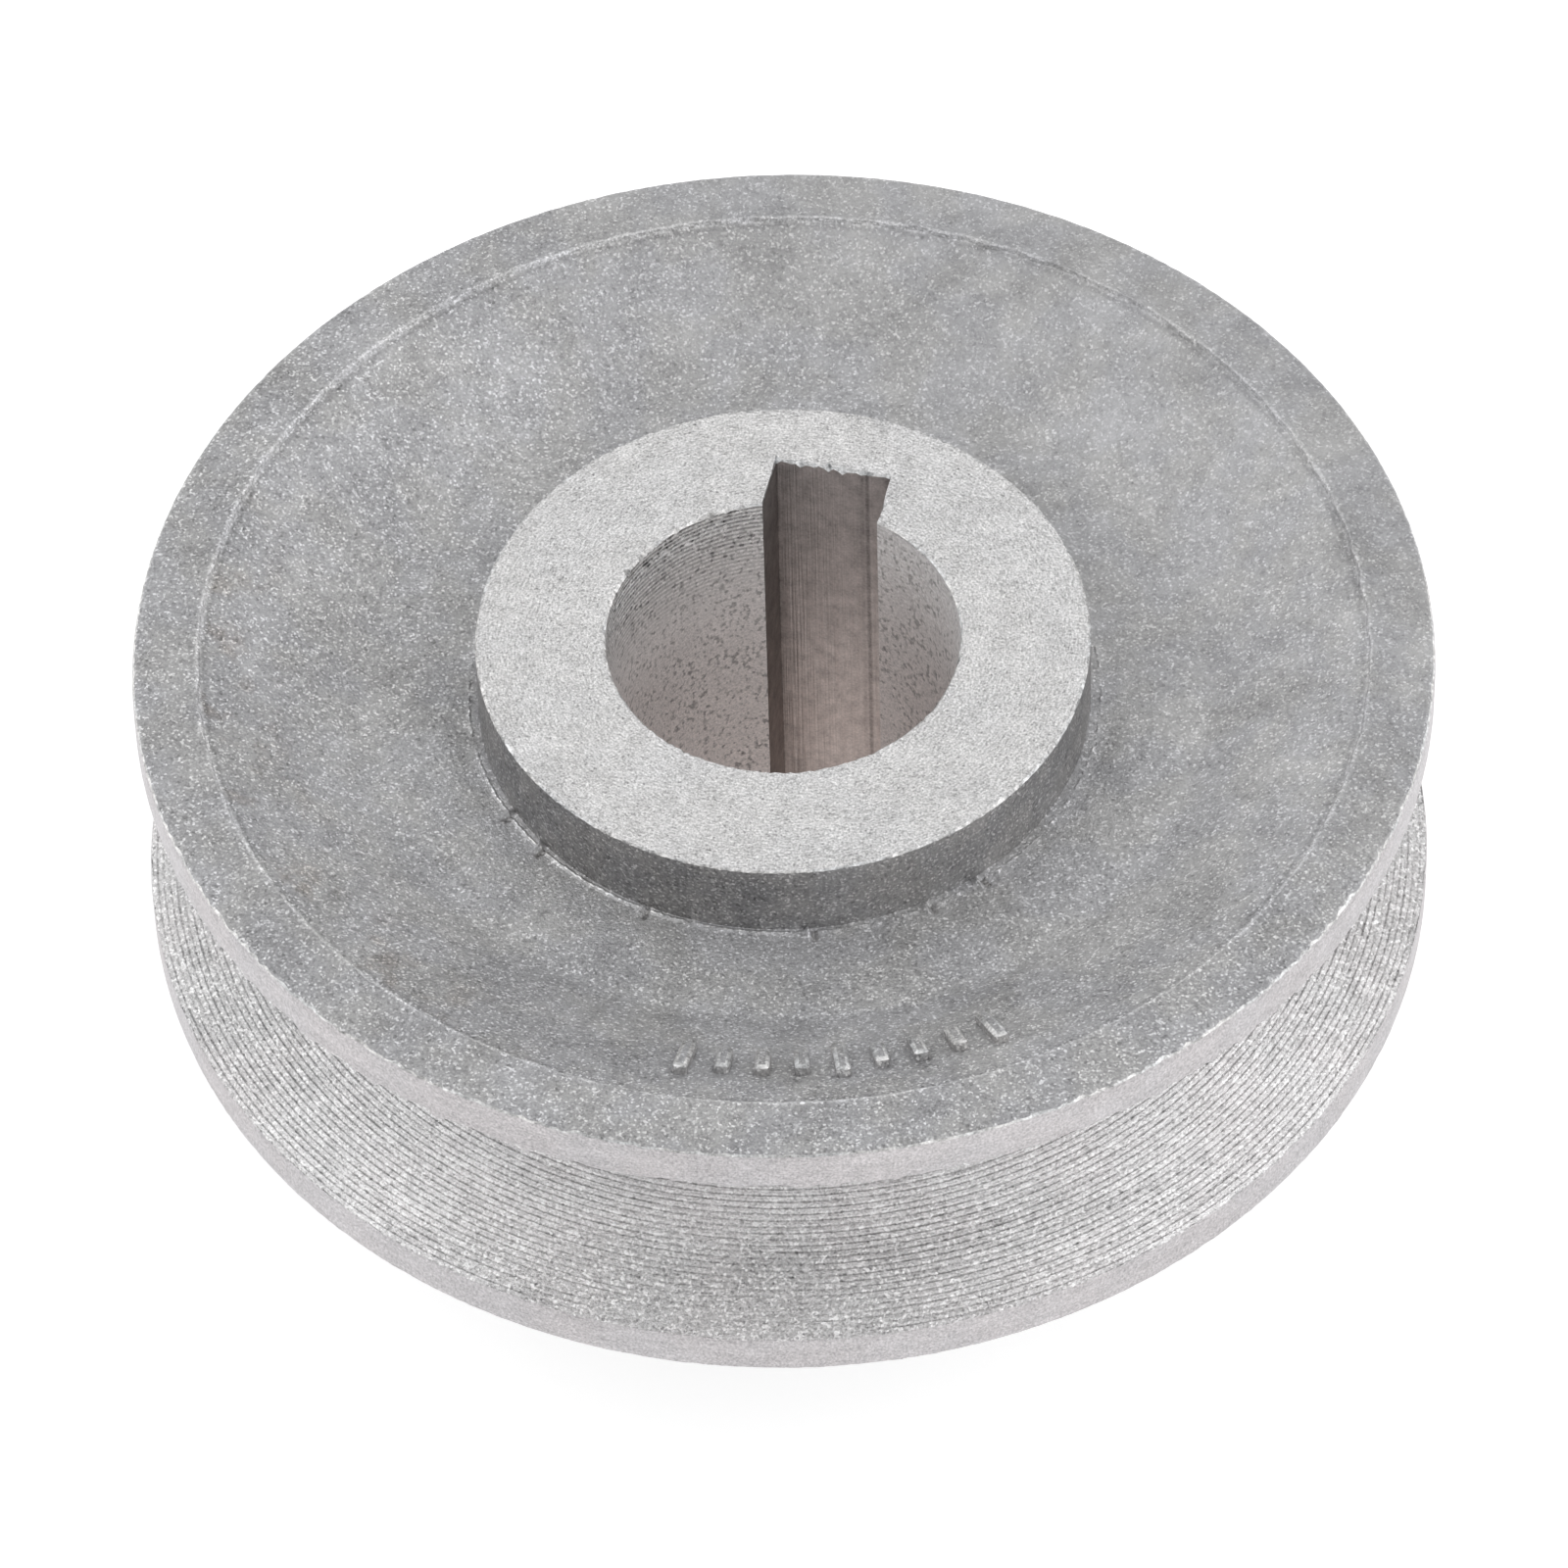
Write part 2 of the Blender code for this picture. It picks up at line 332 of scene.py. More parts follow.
def land_rings(level, face):
    """The small step up from the cone, a faint bead along it, and the land."""
    base = RIM_TOP if face > 0 else RIM_BOTTOM
    rings = []
    drift = wobble(level, 5 + face, 2, 90, 0.04 * MM)
    bead = np.maximum(0.035 * MM * (1.0 + wobble(level, 7 + face, 3, 120, 0.5)), 0.0)
    # Each ring's distance out from the edge and its depth, in mm, and its share of the bead.
    step = (
        (-0.26, 0.22, 0.0),
        (-0.07, 0.17, 0.0),
        (0.02, 0.03, 0.6),
        (0.10, 0.0, 1.0),
        (0.20, 0.0, 0.5),
        (0.36, 0.0, 0.0),
    )
    for away, depth, share in step:
        radius = LAND_INNER_RADIUS + away * MM + drift
        rings.append(Ring(radius, base - face * (depth * MM - share * bead), level, CAST))
    for radius in np.linspace(LAND_INNER_RADIUS + 0.8 * MM, OUTER_RADIUS - 0.65 * MM, 4):
        out = unevenness(radius, base, level, 2.0 * MM, 0.015 * MM)
        rings.append(Ring(radius, base + out, level, CAST))
    return rings


def rim_edge_rings(face):
    """The corner between the cast land and the turned band, torn most at the upper rim's front quarters."""
    base = RIM_TOP if face > 0 else RIM_BOTTOM
    level = FINEST if face > 0 else DOUBLE
    quarters = np.maximum(near(level, -112.0, 38.0), near(level, -30.0, 25.0))
    torn = 0.12 + 0.88 * quarters if face > 0 else 0.3
    bites = torn * np.clip(wobble(level, 9 + face, 25, 280, 0.05 * MM), -0.14 * MM, 0.08 * MM)
    lift = torn * wobble(level, 11 + face, 20, 280, 0.03 * MM)
    # The strip with the bright edge finish is worn metal and painted highlight.
    # Each ring's distances in and down from the corner, in mm, its shares of bites and lift, its finish.
    corner = (
        (0.40, 0.00, 0.3, 0.2, CAST),
        (0.22, 0.015, 1.0, 1.0, CAST),
        (0.12, 0.07, 1.0, 1.0, EDGE),
        (0.05, 0.16, 0.5, 0.5, BAND),
        (0.015, 0.34, 0.1, 0.2, BAND),
    )
    rings = []
    for inward, down, bite, rise, finish in corner:
        radius = OUTER_RADIUS - inward * MM + bite * bites
        height = base - face * (down * MM - rise * lift)
        rings.append(Ring(np.minimum(radius, OUTER_RADIUS), height, level, finish))
    return rings


def band_rings(top, bottom):
    """One of the rim's two outer bands."""
    rings = []
    level = DOUBLE
    for height in np.linspace(top, bottom, 3):
        out = unevenness(OUTER_RADIUS, height, level, 1.0 * MM, 0.006 * MM)
        rings.append(Ring(OUTER_RADIUS - 0.006 * MM + out, height, level, BAND))
    return rings


def flank_rings(face):
    """One flank of the groove from its lip inwards: flat crests between narrow turning lines, which are
    broken up, worn in front and shallow at the far sides."""
    level = COARSE
    lip = GROOVE_MIDDLE + face * GROOVE_HALF_MOUTH
    length = GROOVE_DEPTH / math.cos(GROOVE_SLOPE)
    turns = int(length / TURNING_PITCH) - 1
    rings = []
    for turn in range(turns):
        outer_share = 1.0 - turn / turns
        worn = 1.0 - (0.4 + 0.55 * outer_share) * near(level, -82.0, 28.0)
        worn *= 0.22 + 0.78 * near(level, -76.0, 66.0)
        broken = np.clip(1.0 + wobble(level, 20 + 3 * turn + face, 4, 72, 0.42), 0.1, 1.6)
        for part, (share, sunk) in enumerate(((0.12, 0.0), (0.60, 0.0), (0.86, 1.0))):
            along = (turn + 0.3 + share) * TURNING_PITCH
            seed = 400 + 600 * (face + 1) + 3 * turn + part
            into = sunk * TURNING_DEPTH * worn * broken + np.abs(speckle(level, seed, 0.005 * MM))
            radius = OUTER_RADIUS - along * math.cos(GROOVE_SLOPE) - into * math.sin(GROOVE_SLOPE)
            height = lip - face * along * math.sin(GROOVE_SLOPE) + face * into * math.cos(GROOVE_SLOPE)
            rings.append(Ring(radius + speckle(level, seed + 300, 0.004 * MM), height, level, FLANK))
    return rings


def root_rings():
    """The bottom of the groove, turned by the tool's tip."""
    rings = []
    heights = np.linspace(GROOVE_MIDDLE + GROOVE_HALF_ROOT, GROOVE_MIDDLE - GROOVE_HALF_ROOT, 15)
    for step, height in enumerate(heights):
        depth = 0.025 * MM * (step % 2) + np.abs(speckle(COARSE, 1700 + step, 0.003 * MM))
        rings.append(Ring(GROOVE_ROOT_RADIUS - depth, height, COARSE, BAND))
    return rings


def under_hub_rings():
    """The corner under the web, the long hub's wall, and its turned end face."""
    ceiling = RIM_BOTTOM + DISH_DEPTH_AT_HUB
    rings = [
        Ring(HUB_RADIUS + 0.55 * MM, ceiling, USUAL, CAST),
        Ring(HUB_RADIUS + 0.25 * MM, ceiling - 0.08 * MM, USUAL, CAST),
        Ring(HUB_RADIUS + 0.08 * MM, ceiling - 0.25 * MM, USUAL, CAST),
    ]
    for height in np.linspace(ceiling - 0.6 * MM, 0.35 * MM, 9):
        out = unevenness(HUB_RADIUS, height, USUAL, 1.5 * MM, 0.02 * MM)
        rings.append(Ring(HUB_RADIUS - 0.01 * MM + out, height, USUAL, CAST))
    rings.append(Ring(HUB_RADIUS - 0.02 * MM, 0.16 * MM, USUAL, CAST))
    outer = HUB_RADIUS - 0.15 * MM + wobble(USUAL, 30, 10, 120, 0.02 * MM)
    inner = BORE_OUTLINE + bore_edge_break()
    for share in (1.0, 0.9, 0.5, 0.05, 0.0):
        rings.append(Ring(inner + (outer - inner) * share, 0.0, USUAL, FACE))
    return rings


def bore_rings():
    """The bore from its lower edge up, with boring lines near the top, deepest on one side, that fade
    on the way down."""
    edge = bore_edge_break()
    rings = [Ring(BORE_OUTLINE, edge, USUAL, BORE_FINISH)]
    lines_start = HUB_TOP - BORE_LINES_DEPTH
    for height in np.arange(2.0 * MM, lines_start, 2.0 * MM):
        rings.append(Ring(BORE_OUTLINE, height, USUAL, BORE_FINISH))
    steps = int((BORE_LINES_DEPTH - 0.3 * MM) / (BORE_PITCH / 2))
    strong_side = 0.35 + 0.65 * near(USUAL, BORE_LINES_SIDE, 45.0)
    for step in range(steps):
        height = lines_start + step * BORE_PITCH / 2
        fade = step / steps
        depth = 0.035 * MM * (step % 2) * fade * strong_side
        depth = np.where(IN_KEYWAY, 0.0, depth + np.abs(speckle(USUAL, 2000 + step, 0.003 * MM)) * fade)
        rings.append(Ring(BORE_OUTLINE + depth, height, USUAL, BORE_FINISH))
    return rings


def casting_rings():
    """Every ring, in order, from the bore's upper edge round the section and back up the bore."""
    rings = hub_face_rings() + hub_wall_rings() + hub_foot_rings()
    rings += dish_rings(USUAL, 1, 17) + land_rings(DOUBLE, 1) + rim_edge_rings(1)
    lip = GROOVE_MIDDLE + GROOVE_HALF_MOUTH
    rings += band_rings(RIM_TOP - 0.5 * MM, lip + 0.12 * MM)
    ragged = wobble(DOUBLE, 40, 5, 250, 0.06 * MM) * (1.0 + 1.2 * near(DOUBLE, -125.0, 35.0))
    rings.append(Ring(OUTER_RADIUS - 0.04 * MM, lip + ragged, DOUBLE, FLANK))
    rings += flank_rings(1) + root_rings() + flank_rings(-1)[::-1]
    lip = GROOVE_MIDDLE - GROOVE_HALF_MOUTH
    rings.append(Ring(OUTER_RADIUS - 0.04 * MM, lip + wobble(DOUBLE, 41, 5, 250, 0.03 * MM), DOUBLE, BAND))
    rings += band_rings(lip - 0.12 * MM, RIM_BOTTOM + 0.5 * MM)
    rings += rim_edge_rings(-1)[::-1] + land_rings(USUAL, -1)[::-1]
    rings += dish_rings(COARSE, -1, 12)[::-1]
    return rings + under_hub_rings() + bore_rings()


# ---------------------------------------------------------------- from rings to a mesh

def ring_points(ring):
    """The ring's points in space, one for each column."""
    angles = ANGLES[ring.level]
    radius = np.broadcast_to(ring.radius, len(angles))
    height = np.broadcast_to(ring.height, len(angles))
    return np.stack([radius * np.cos(angles), radius * np.sin(angles), height], axis=1)


def strip_faces(start, count, next_start, next_count):
    """Faces between two neighbouring rings, whose columns may differ by a factor of two."""
    faces = []
    columns = min(count, next_count)
    step = count // columns
    next_step = next_count // columns
    for column in range(columns):
        first = [start + (column * step + i) % count for i in range(step + 1)]
        second = [next_start + (column * next_step + i) % next_count for i in range(next_step + 1)]
        faces.append(first[:1] + second + first[:0:-1])
    return faces


def revolved_mesh(name, rings, closed=True):
    """A skin over rings, which form a loop, or else a row whose two ends are capped.
    A strip takes the finish of the ring that it starts from."""
    counts = [len(ANGLES[ring.level]) for ring in rings]
    starts = [0, *np.cumsum(counts).tolist()]
    faces = []
    finishes = []
    for index in range(len(rings) if closed else len(rings) - 1):
        following = (index + 1) % len(rings)
        strip = strip_faces(starts[index], counts[index], starts[following], counts[following])
        faces += strip
        finishes += np.broadcast_to(rings[index].finish, len(strip)).tolist()
    if not closed:
        faces += [list(range(counts[0])), list(range(starts[-2], starts[-1]))[::-1]]
        finishes += [rings[0].finish, rings[-1].finish]
    mesh = bpy.data.meshes.new(name)
    mesh.from_pydata(np.concatenate([ring_points(ring) for ring in rings]).tolist(), [], faces)
    mesh.polygons.foreach_set("material_index", np.array(finishes, np.int32))
    mesh.update()
    return mesh


def add_object(name, mesh):
    made = bpy.data.objects.new(name, mesh)
    bpy.context.scene.collection.objects.link(made)
    return made


# ---------------------------------------------------------------- materials

def new_material(name):
    """A material with its node tree and its shader."""
    material = bpy.data.materials.new(name)
    material.use_nodes = True
    return material, material.node_tree, material.node_tree.nodes["Principled BSDF"]


def add_node(tree, kind, inputs=(), **settings):
    """A node with its settings, and with values or links put on its inputs."""
    made = tree.nodes.new(kind)
    for key, value in settings.items():
        setattr(made, key, value)
    for socket, value in dict(inputs).items():
        if isinstance(value, bpy.types.NodeSocket):
            tree.links.new(value, made.inputs[socket])
        else:
            made.inputs[socket].default_value = value
    return made


def position(tree, stretch=(1.0, 1.0, 1.0)):
    """The point on the piece, in metres, stretched along the piece's own axes."""
    coordinates = add_node(tree, "ShaderNodeTexCoord").outputs["Object"]
    stretched = add_node(tree, "ShaderNodeVectorMath", {0: coordinates, 1: stretch}, operation="MULTIPLY")
    return stretched.outputs[0]


def grain(tree, place, size, detail=2.0, roughness=0.5):
    """Noise spread out between 0 and 1, with features of about the given size in metres."""
    inputs = {"Vector": place, "Scale": 1.0 / size, "Detail": detail, "Roughness": roughness}
    drawn = add_node(tree, "ShaderNodeTexNoise", inputs).outputs["Fac"]
    return scaled(tree, drawn, 0.25, 0.75, 0.0, 1.0)


def specks(tree, place, size, power):
    """A random value from 0 to 1 in each cell of the given size. A high power leaves few far above 0."""
    cells = add_node(tree, "ShaderNodeTexVoronoi", {"Vector": place, "Scale": 1.0 / size})
    drawn = add_node(tree, "ShaderNodeSeparateColor", {0: cells.outputs["Color"]}).outputs[0]
    return maths(tree, "POWER", drawn, power)


def scaled(tree, value, low, high, out_low, out_high):
    """The value with low to high mapped to the new range, and clamped to it."""
    inputs = {"Value": value, "From Min": low, "From Max": high, "To Min": out_low, "To Max": out_high}
    return add_node(tree, "ShaderNodeMapRange", inputs).outputs[0]


def maths(tree, operation, first, second=0.5, third=0.5):
    node = add_node(tree, "ShaderNodeMath", {0: first, 1: second, 2: third}, operation=operation)
    return node.outputs[0]


def times(tree, first, second):
    return maths(tree, "MULTIPLY", first, second)


def plus(tree, value, term, weight=1.0):
    """The value and the term times its weight."""
    return maths(tree, "MULTIPLY_ADD", term, weight, value)


def line_at(tree, value, middle, half_width, fades_by, strength):
    """The strength where the value is within half_width of the middle, and 0 from fades_by on."""
    away = maths(tree, "ABSOLUTE", maths(tree, "SUBTRACT", value, middle))
    return scaled(tree, away, half_width, fades_by, strength, 0.0)


def blended(tree, share, first, second, blend="MIX"):
    """The first colour, with the second blended over it by the share."""
    inputs = {0: share, 6: first, 7: second}
    return add_node(tree, "ShaderNodeMix", inputs, data_type="RGBA", blend_type=blend).outputs[2]


def grey(tree, value):
    """A grey colour from a value."""
    return add_node(tree, "ShaderNodeCombineColor", {0: value, 1: value, 2: value}).outputs[0]


def tinted(tree, value, place, cool, warm, size):
    """The value as a colour that drifts between a cool and a warm grey."""
    drift = scaled(tree, grain(tree, place, size), 0.35, 0.65, 0.0, 1.0)
    tint = blended(tree, drift, (*cool, 1.0), (*warm, 1.0))
    return blended(tree, 1.0, grey(tree, value), tint, "MULTIPLY")


def bump(tree, height, distance, strength=1.0, under=None):
    """A normal raised by the height, on top of the one under it."""
    inputs = {"Height": height, "Distance": distance, "Strength": strength}
    if under is not None:
        inputs["Normal"] = under
    return add_node(tree, "ShaderNodeBump", inputs).outputs[0]


def summed(tree, base, *terms):
    """base plus each (value, weight) term, where a value of 0.5 adds nothing."""
    total = None
    offset = base - sum(0.5 * weight for _, weight in terms)
    for value, weight in terms:
        total = maths(tree, "MULTIPLY_ADD", value, weight, offset if total is None else total)
    return total


def connect(tree, shader, colour, roughness, normal, metallic=1.0):
    """Links the three results to the shader, and sets how metallic it is."""
    tree.links.new(colour, shader.inputs["Base Color"])
    tree.links.new(roughness, shader.inputs["Roughness"])
    tree.links.new(normal, shader.inputs["Normal"])
    shader.inputs["Metallic"].default_value = metallic


def distance_from_axis(tree):
    """Distance of the point on the piece from the pulley's axis."""
    flat = position(tree, (1.0, 1.0, 0.0))
    return add_node(tree, "ShaderNodeVectorMath", {0: flat}, operation="LENGTH").outputs["Value"]


def facing(tree, direction, degrees):
    """How far a direction or a place reaches towards an angle about +Z: below 0 on the other side."""
    inputs = {0: direction, 1: (math.cos(math.radians(degrees)), math.sin(math.radians(degrees)), 0.0)}
    return add_node(tree, "ShaderNodeVectorMath", inputs, operation="DOT_PRODUCT").outputs["Value"]


def cast_tone(tree, place, base):
    """Mottled grey with a coarse grain and bright specks of painted glints, calmer towards the keyway's
    side. The fine grain and the patches come with it, for the roughness and the bump."""
    mottle = grain(tree, place, 4.0 * MM, 3.0, 0.65)
    patches = grain(tree, place, 0.9 * MM, 2.0)
    fine = grain(tree, place, 0.125 * MM, 3.0, 0.65)
    glints = specks(tree, place, 0.09 * MM, 6.5)
    pits = specks(tree, position(tree, (1.0, 1.01, 1.0)), 0.14 * MM, 9.0)
    sparkle = plus(tree, -0.12, fine, 0.24)
    # The glints are painted highlights: bright specks in the colour.
    sparkle = plus(tree, sparkle, glints, 0.44)
    sparkle = plus(tree, sparkle, pits, -0.12)
    calm = scaled(tree, facing(tree, place, 60.0), 0.0, 0.85 * OUTER_RADIUS, 1.0, 0.55)
    value = summed(tree, base, (mottle, 0.15), (patches, 0.08))
    return plus(tree, value, sparkle, calm), fine, patches


def cast_skin():
    """Die-cast aluminium skin: paler on the web's floor, with painted light towards the keyway's end and at
    the feet of the boss and the cone in front. Darker on the land, with a bright ragged edge of painted
    highlight along the land's inner side, a dark corner inside it that is painted shade, and stains on the
    cone's left."""
    material, tree, shader = new_material("cast_skin")
    place = position(tree)
    radius = distance_from_axis(tree)
    value, fine, patches = cast_tone(tree, place, 0.368)
    kink = DISH_FLOOR_RADIUS
    land = LAND_INNER_RADIUS
    value = plus(tree, value, scaled(tree, radius, kink - 0.1 * MM, kink + 0.1 * MM, 0.012, 0.0))
    value = plus(tree, value, scaled(tree, radius, land, land + 0.2 * MM, 0.0, -0.02))
    # Painted light: paler towards 75 degrees, near the keyway, and darker on the opposite side.
    drift = scaled(tree, facing(tree, place, 75.0), -OUTER_RADIUS, OUTER_RADIUS, -0.015, 0.025)
    value = plus(tree, value, drift)

    # Painted light: in front, paler at the boss's foot and just past the kink at the cone's foot, lifting
    # the shade there.
    at_foot = scaled(tree, radius, HUB_RADIUS + 0.3 * MM, HUB_RADIUS + 3.0 * MM, 0.07, 0.0)
    past_kink = maths(tree, "SUBTRACT", radius, kink)
    on_cone = scaled(tree, past_kink, 0.0, 4.0 * MM, 0.045, 0.0)
    on_cone = times(tree, on_cone, scaled(tree, past_kink, -0.1 * MM, 0.1 * MM, 0.0, 1.0))
    in_front = scaled(tree, facing(tree, place, -90.0), 0.3 * HUB_RADIUS, 0.9 * HUB_RADIUS, 0.0, 1.0)
    value = plus(tree, value, plus(tree, at_foot, on_cone), in_front)

    outwards = scaled(tree, radius, kink + 2.0 * MM, land - 1.0 * MM, 0.0, 1.0)
    off_land = scaled(tree, radius, land - 0.3 * MM, land, 1.0, 0.0)
    on_left = scaled(tree, facing(tree, place, -145.0), 0.55 * OUTER_RADIUS, 0.8 * OUTER_RADIUS, 0.0, 1.0)
    stained = times(tree, times(tree, outwards, off_land), on_left)
    value = plus(tree, value, stained, -0.03)
    blotches = scaled(tree, grain(tree, place, 2.2 * MM, 4.0, 0.6), 0.55, 0.85, 0.0, 1.0)
    stained = times(tree, stained, blotches)
    value = plus(tree, value, stained, -0.07)

    # Painted highlight: a bright ragged line along the land's inner edge, fainter towards 40 degrees.
    strayed = plus(tree, land - 0.04 * MM, patches, 0.10 * MM)
    edge = line_at(tree, radius, strayed, 0.05 * MM, 0.15 * MM, 0.27)
    faded = scaled(tree, facing(tree, place, 40.0), 0.5 * OUTER_RADIUS, 0.8 * OUTER_RADIUS, 1.0, 0.5)
    edge = times(tree, edge, faded)
    value = plus(tree, value, edge, scaled(tree, fine, 0.3, 0.7, 0.2, 1.0))
    # Painted shade: a dark line just inside, at the foot of the step.
    value = plus(tree, value, line_at(tree, radius, land - 0.25 * MM, 0.02 * MM, 0.16 * MM, 0.06), -1.0)

    colour = tinted(tree, value, place, (0.992, 0.992, 1.02), (1.003, 0.997, 1.0), 3.0 * MM)
    browned = blended(tree, 1.0, colour, (1.05, 0.99, 0.93, 1.0), "MULTIPLY")
    colour = blended(tree, stained, colour, browned)
    roughness = summed(tree, 0.46, (fine, 0.2), (patches, 0.05))
    normal = bump(tree, patches, 0.02 * MM, 0.6, bump(tree, fine, 0.03 * MM))
    connect(tree, shader, colour, roughness, normal, 0.68)
    return material


def cast_wall():
    """The short boss's wall: darker than the web, paler on its right as painted light, with faint drag
    lines. On the bars' sides and in the nicks its darkness stands for painted shade.
    """
    material, tree, shader = new_material("cast_wall")
    place = position(tree)
    value, fine, patches = cast_tone(tree, place, 0.285)
    # Painted light: paler on the wall's right side, towards -48 degrees.
    lit = scaled(tree, facing(tree, place, -48.0), 0.80 * HUB_RADIUS, 0.97 * HUB_RADIUS, -0.01, 0.075)
    value = plus(tree, value, lit)
    drags = grain(tree, position(tree, (1.0, 1.0, 0.06)), 0.16 * MM, 2.0)
    value = plus(tree, value, drags, 0.06)
    colour = tinted(tree, value, place, (1.0, 0.99, 0.995), (1.015, 0.995, 0.985), 2.0 * MM)
    roughness = summed(tree, 0.48, (fine, 0.2), (patches, 0.05))
    normal = bump(tree, patches, 0.02 * MM, 0.6, bump(tree, fine, 0.03 * MM))
    connect(tree, shader, colour, roughness, normal, 0.85)
    return material


def turned_face():
    """The hub's faces: bright and neutral, with a close grain drawn out along faint turning rings."""
    material, tree, shader = new_material("turned_face")
    place = position(tree)
    axes = add_node(tree, "ShaderNodeSeparateXYZ", {0: place})
    angle = maths(tree, "ARCTAN2", axes.outputs[1], axes.outputs[0])
    round_the_axis = times(tree, angle, 0.2 * HUB_RADIUS)
    rolled_out = {0: distance_from_axis(tree), 1: round_the_axis}
    polar = add_node(tree, "ShaderNodeCombineXYZ", rolled_out).outputs[0]
    arcs = grain(tree, polar, 0.09 * MM, 2.0, 0.6)
    fine = grain(tree, place, 0.10 * MM, 3.0, 0.7)
    patches = grain(tree, place, 1.2 * MM, 3.0)
    pits = specks(tree, place, 0.12 * MM, 7.0)
    value = summed(tree, 0.65, (fine, 0.78), (arcs, 0.36), (patches, 0.14))
    value = plus(tree, value, pits, -0.16)
    colour = tinted(tree, value, place, (1.0, 0.993, 0.998), (1.005, 0.995, 0.995), 3.0 * MM)
    roughness = summed(tree, 0.5, (fine, 0.2))
    normal = bump(tree, arcs, 0.006 * MM, 1.0, bump(tree, fine, 0.02 * MM))
    connect(tree, shader, colour, roughness, normal)
    return material


def turned_band():
    """The rim's outer bands: satin, a little darker in front as painted shade, with a close grain and faint
    lines round it.
    """
    material, tree, shader = new_material("turned_band")
    place = position(tree)
    lines = grain(tree, position(tree, (0.06, 0.06, 1.0)), 0.09 * MM, 2.0)
    fine = grain(tree, place, 0.11 * MM, 3.0, 0.65)
    patches = grain(tree, position(tree, (0.3, 0.3, 1.0)), 0.5 * MM, 2.0)
    value = summed(tree, 0.53, (fine, 0.42), (lines, 0.08), (patches, 0.08))
    # Painted shade: a little darker on the front, towards -89 degrees.
    dull = scaled(tree, facing(tree, place, -89.0), 0.86 * OUTER_RADIUS, 0.99 * OUTER_RADIUS, 0.0, 0.04)
    value = plus(tree, value, dull, -1.0)
    colour = tinted(tree, value, place, (1.015, 0.985, 1.005), (1.02, 0.98, 0.995), 4.0 * MM)
    roughness = summed(tree, 0.5, (fine, 0.1), (lines, 0.1))
    normal = bump(tree, lines, 0.003 * MM, 1.0, bump(tree, fine, 0.015 * MM))
    connect(tree, shader, colour, roughness, normal)
    return material


def turned_flank():
    """The groove's flanks: bright torn metal with painted glints between broken dark turning lines of
    painted shade. Painted shade makes it darker in front, more so near the root, and at the far sides,
    where the lines are faint."""
    material, tree, shader = new_material("turned_flank")
    place = position(tree)
    radius = distance_from_axis(tree)
    fine = grain(tree, place, 0.11 * MM, 3.0, 0.65)
    patches = grain(tree, place, 1.6 * MM, 2.0)
    glints = specks(tree, place, 0.12 * MM, 5.0)
    holes = specks(tree, position(tree, (1.0, 1.0, 1.01)), 0.12 * MM, 9.0)
    value = summed(tree, 0.80, (fine, 0.50), (patches, 0.07))

    # Painted shade: darker in front, darker still deep in the groove towards -66 degrees, and darker at the
    # far sides and the back.
    in_front = scaled(tree, facing(tree, place, -82.0), 0.80 * OUTER_RADIUS, 0.96 * OUTER_RADIUS, 0.0, 1.0)
    value = plus(tree, value, in_front, -0.23)
    sideways = scaled(tree, facing(tree, place, -72.0), 0.3 * OUTER_RADIUS, 0.6 * OUTER_RADIUS, 0.20, 0.0)
    value = plus(tree, value, sideways, -1.0)
    deep = scaled(tree, facing(tree, place, -66.0), 0.80 * OUTER_RADIUS, 0.86 * OUTER_RADIUS, 0.0, 0.12)
    deep = times(tree, deep, scaled(tree, radius, 0.88 * OUTER_RADIUS, 0.96 * OUTER_RADIUS, 1.0, 0.0))
    value = plus(tree, value, deep, -1.0)

    # Painted shade: dark turning lines where the grooves lie, weaker in front.
    pitch = TURNING_PITCH * math.cos(GROOVE_SLOPE)
    along = maths(tree, "SUBTRACT", OUTER_RADIUS, radius)
    phase = plus(tree, -1.16 * 2 * math.pi, along, 2 * math.pi / pitch)
    lines = scaled(tree, maths(tree, "COSINE", phase), 0.1, 0.9, 0.0, 1.0)
    kept = scaled(tree, facing(tree, place, -76.0), 0.2 * OUTER_RADIUS, 0.7 * OUTER_RADIUS, 0.25, 1.0)
    gaps = scaled(tree, grain(tree, place, 0.35 * MM, 2.0), 0.15, 0.65, 0.35, 1.15)
    lines = times(tree, lines, times(tree, kept, gaps))
    value = plus(tree, value, lines, plus(tree, -0.22, in_front, 0.19))

    # Painted highlights: bright glint specks in the colour.
    value = plus(tree, value, glints, 0.50)
    value = plus(tree, value, holes, -0.25)
    colour = tinted(tree, value, place, (1.0, 0.992, 0.996), (1.005, 0.988, 0.992), 4.0 * MM)
    roughness = summed(tree, 0.38, (fine, 0.25))
    connect(tree, shader, colour, roughness, bump(tree, fine, 0.04 * MM))
    return material


def depth_share(tree):
    """0 at the hub's upper face, rising to 1 two thirds of the way down the bore."""
    height = add_node(tree, "ShaderNodeSeparateXYZ", {0: position(tree)}).outputs[2]
    return scaled(tree, height, HUB_TOP, HUB_TOP / 3, 0.0, 1.0)


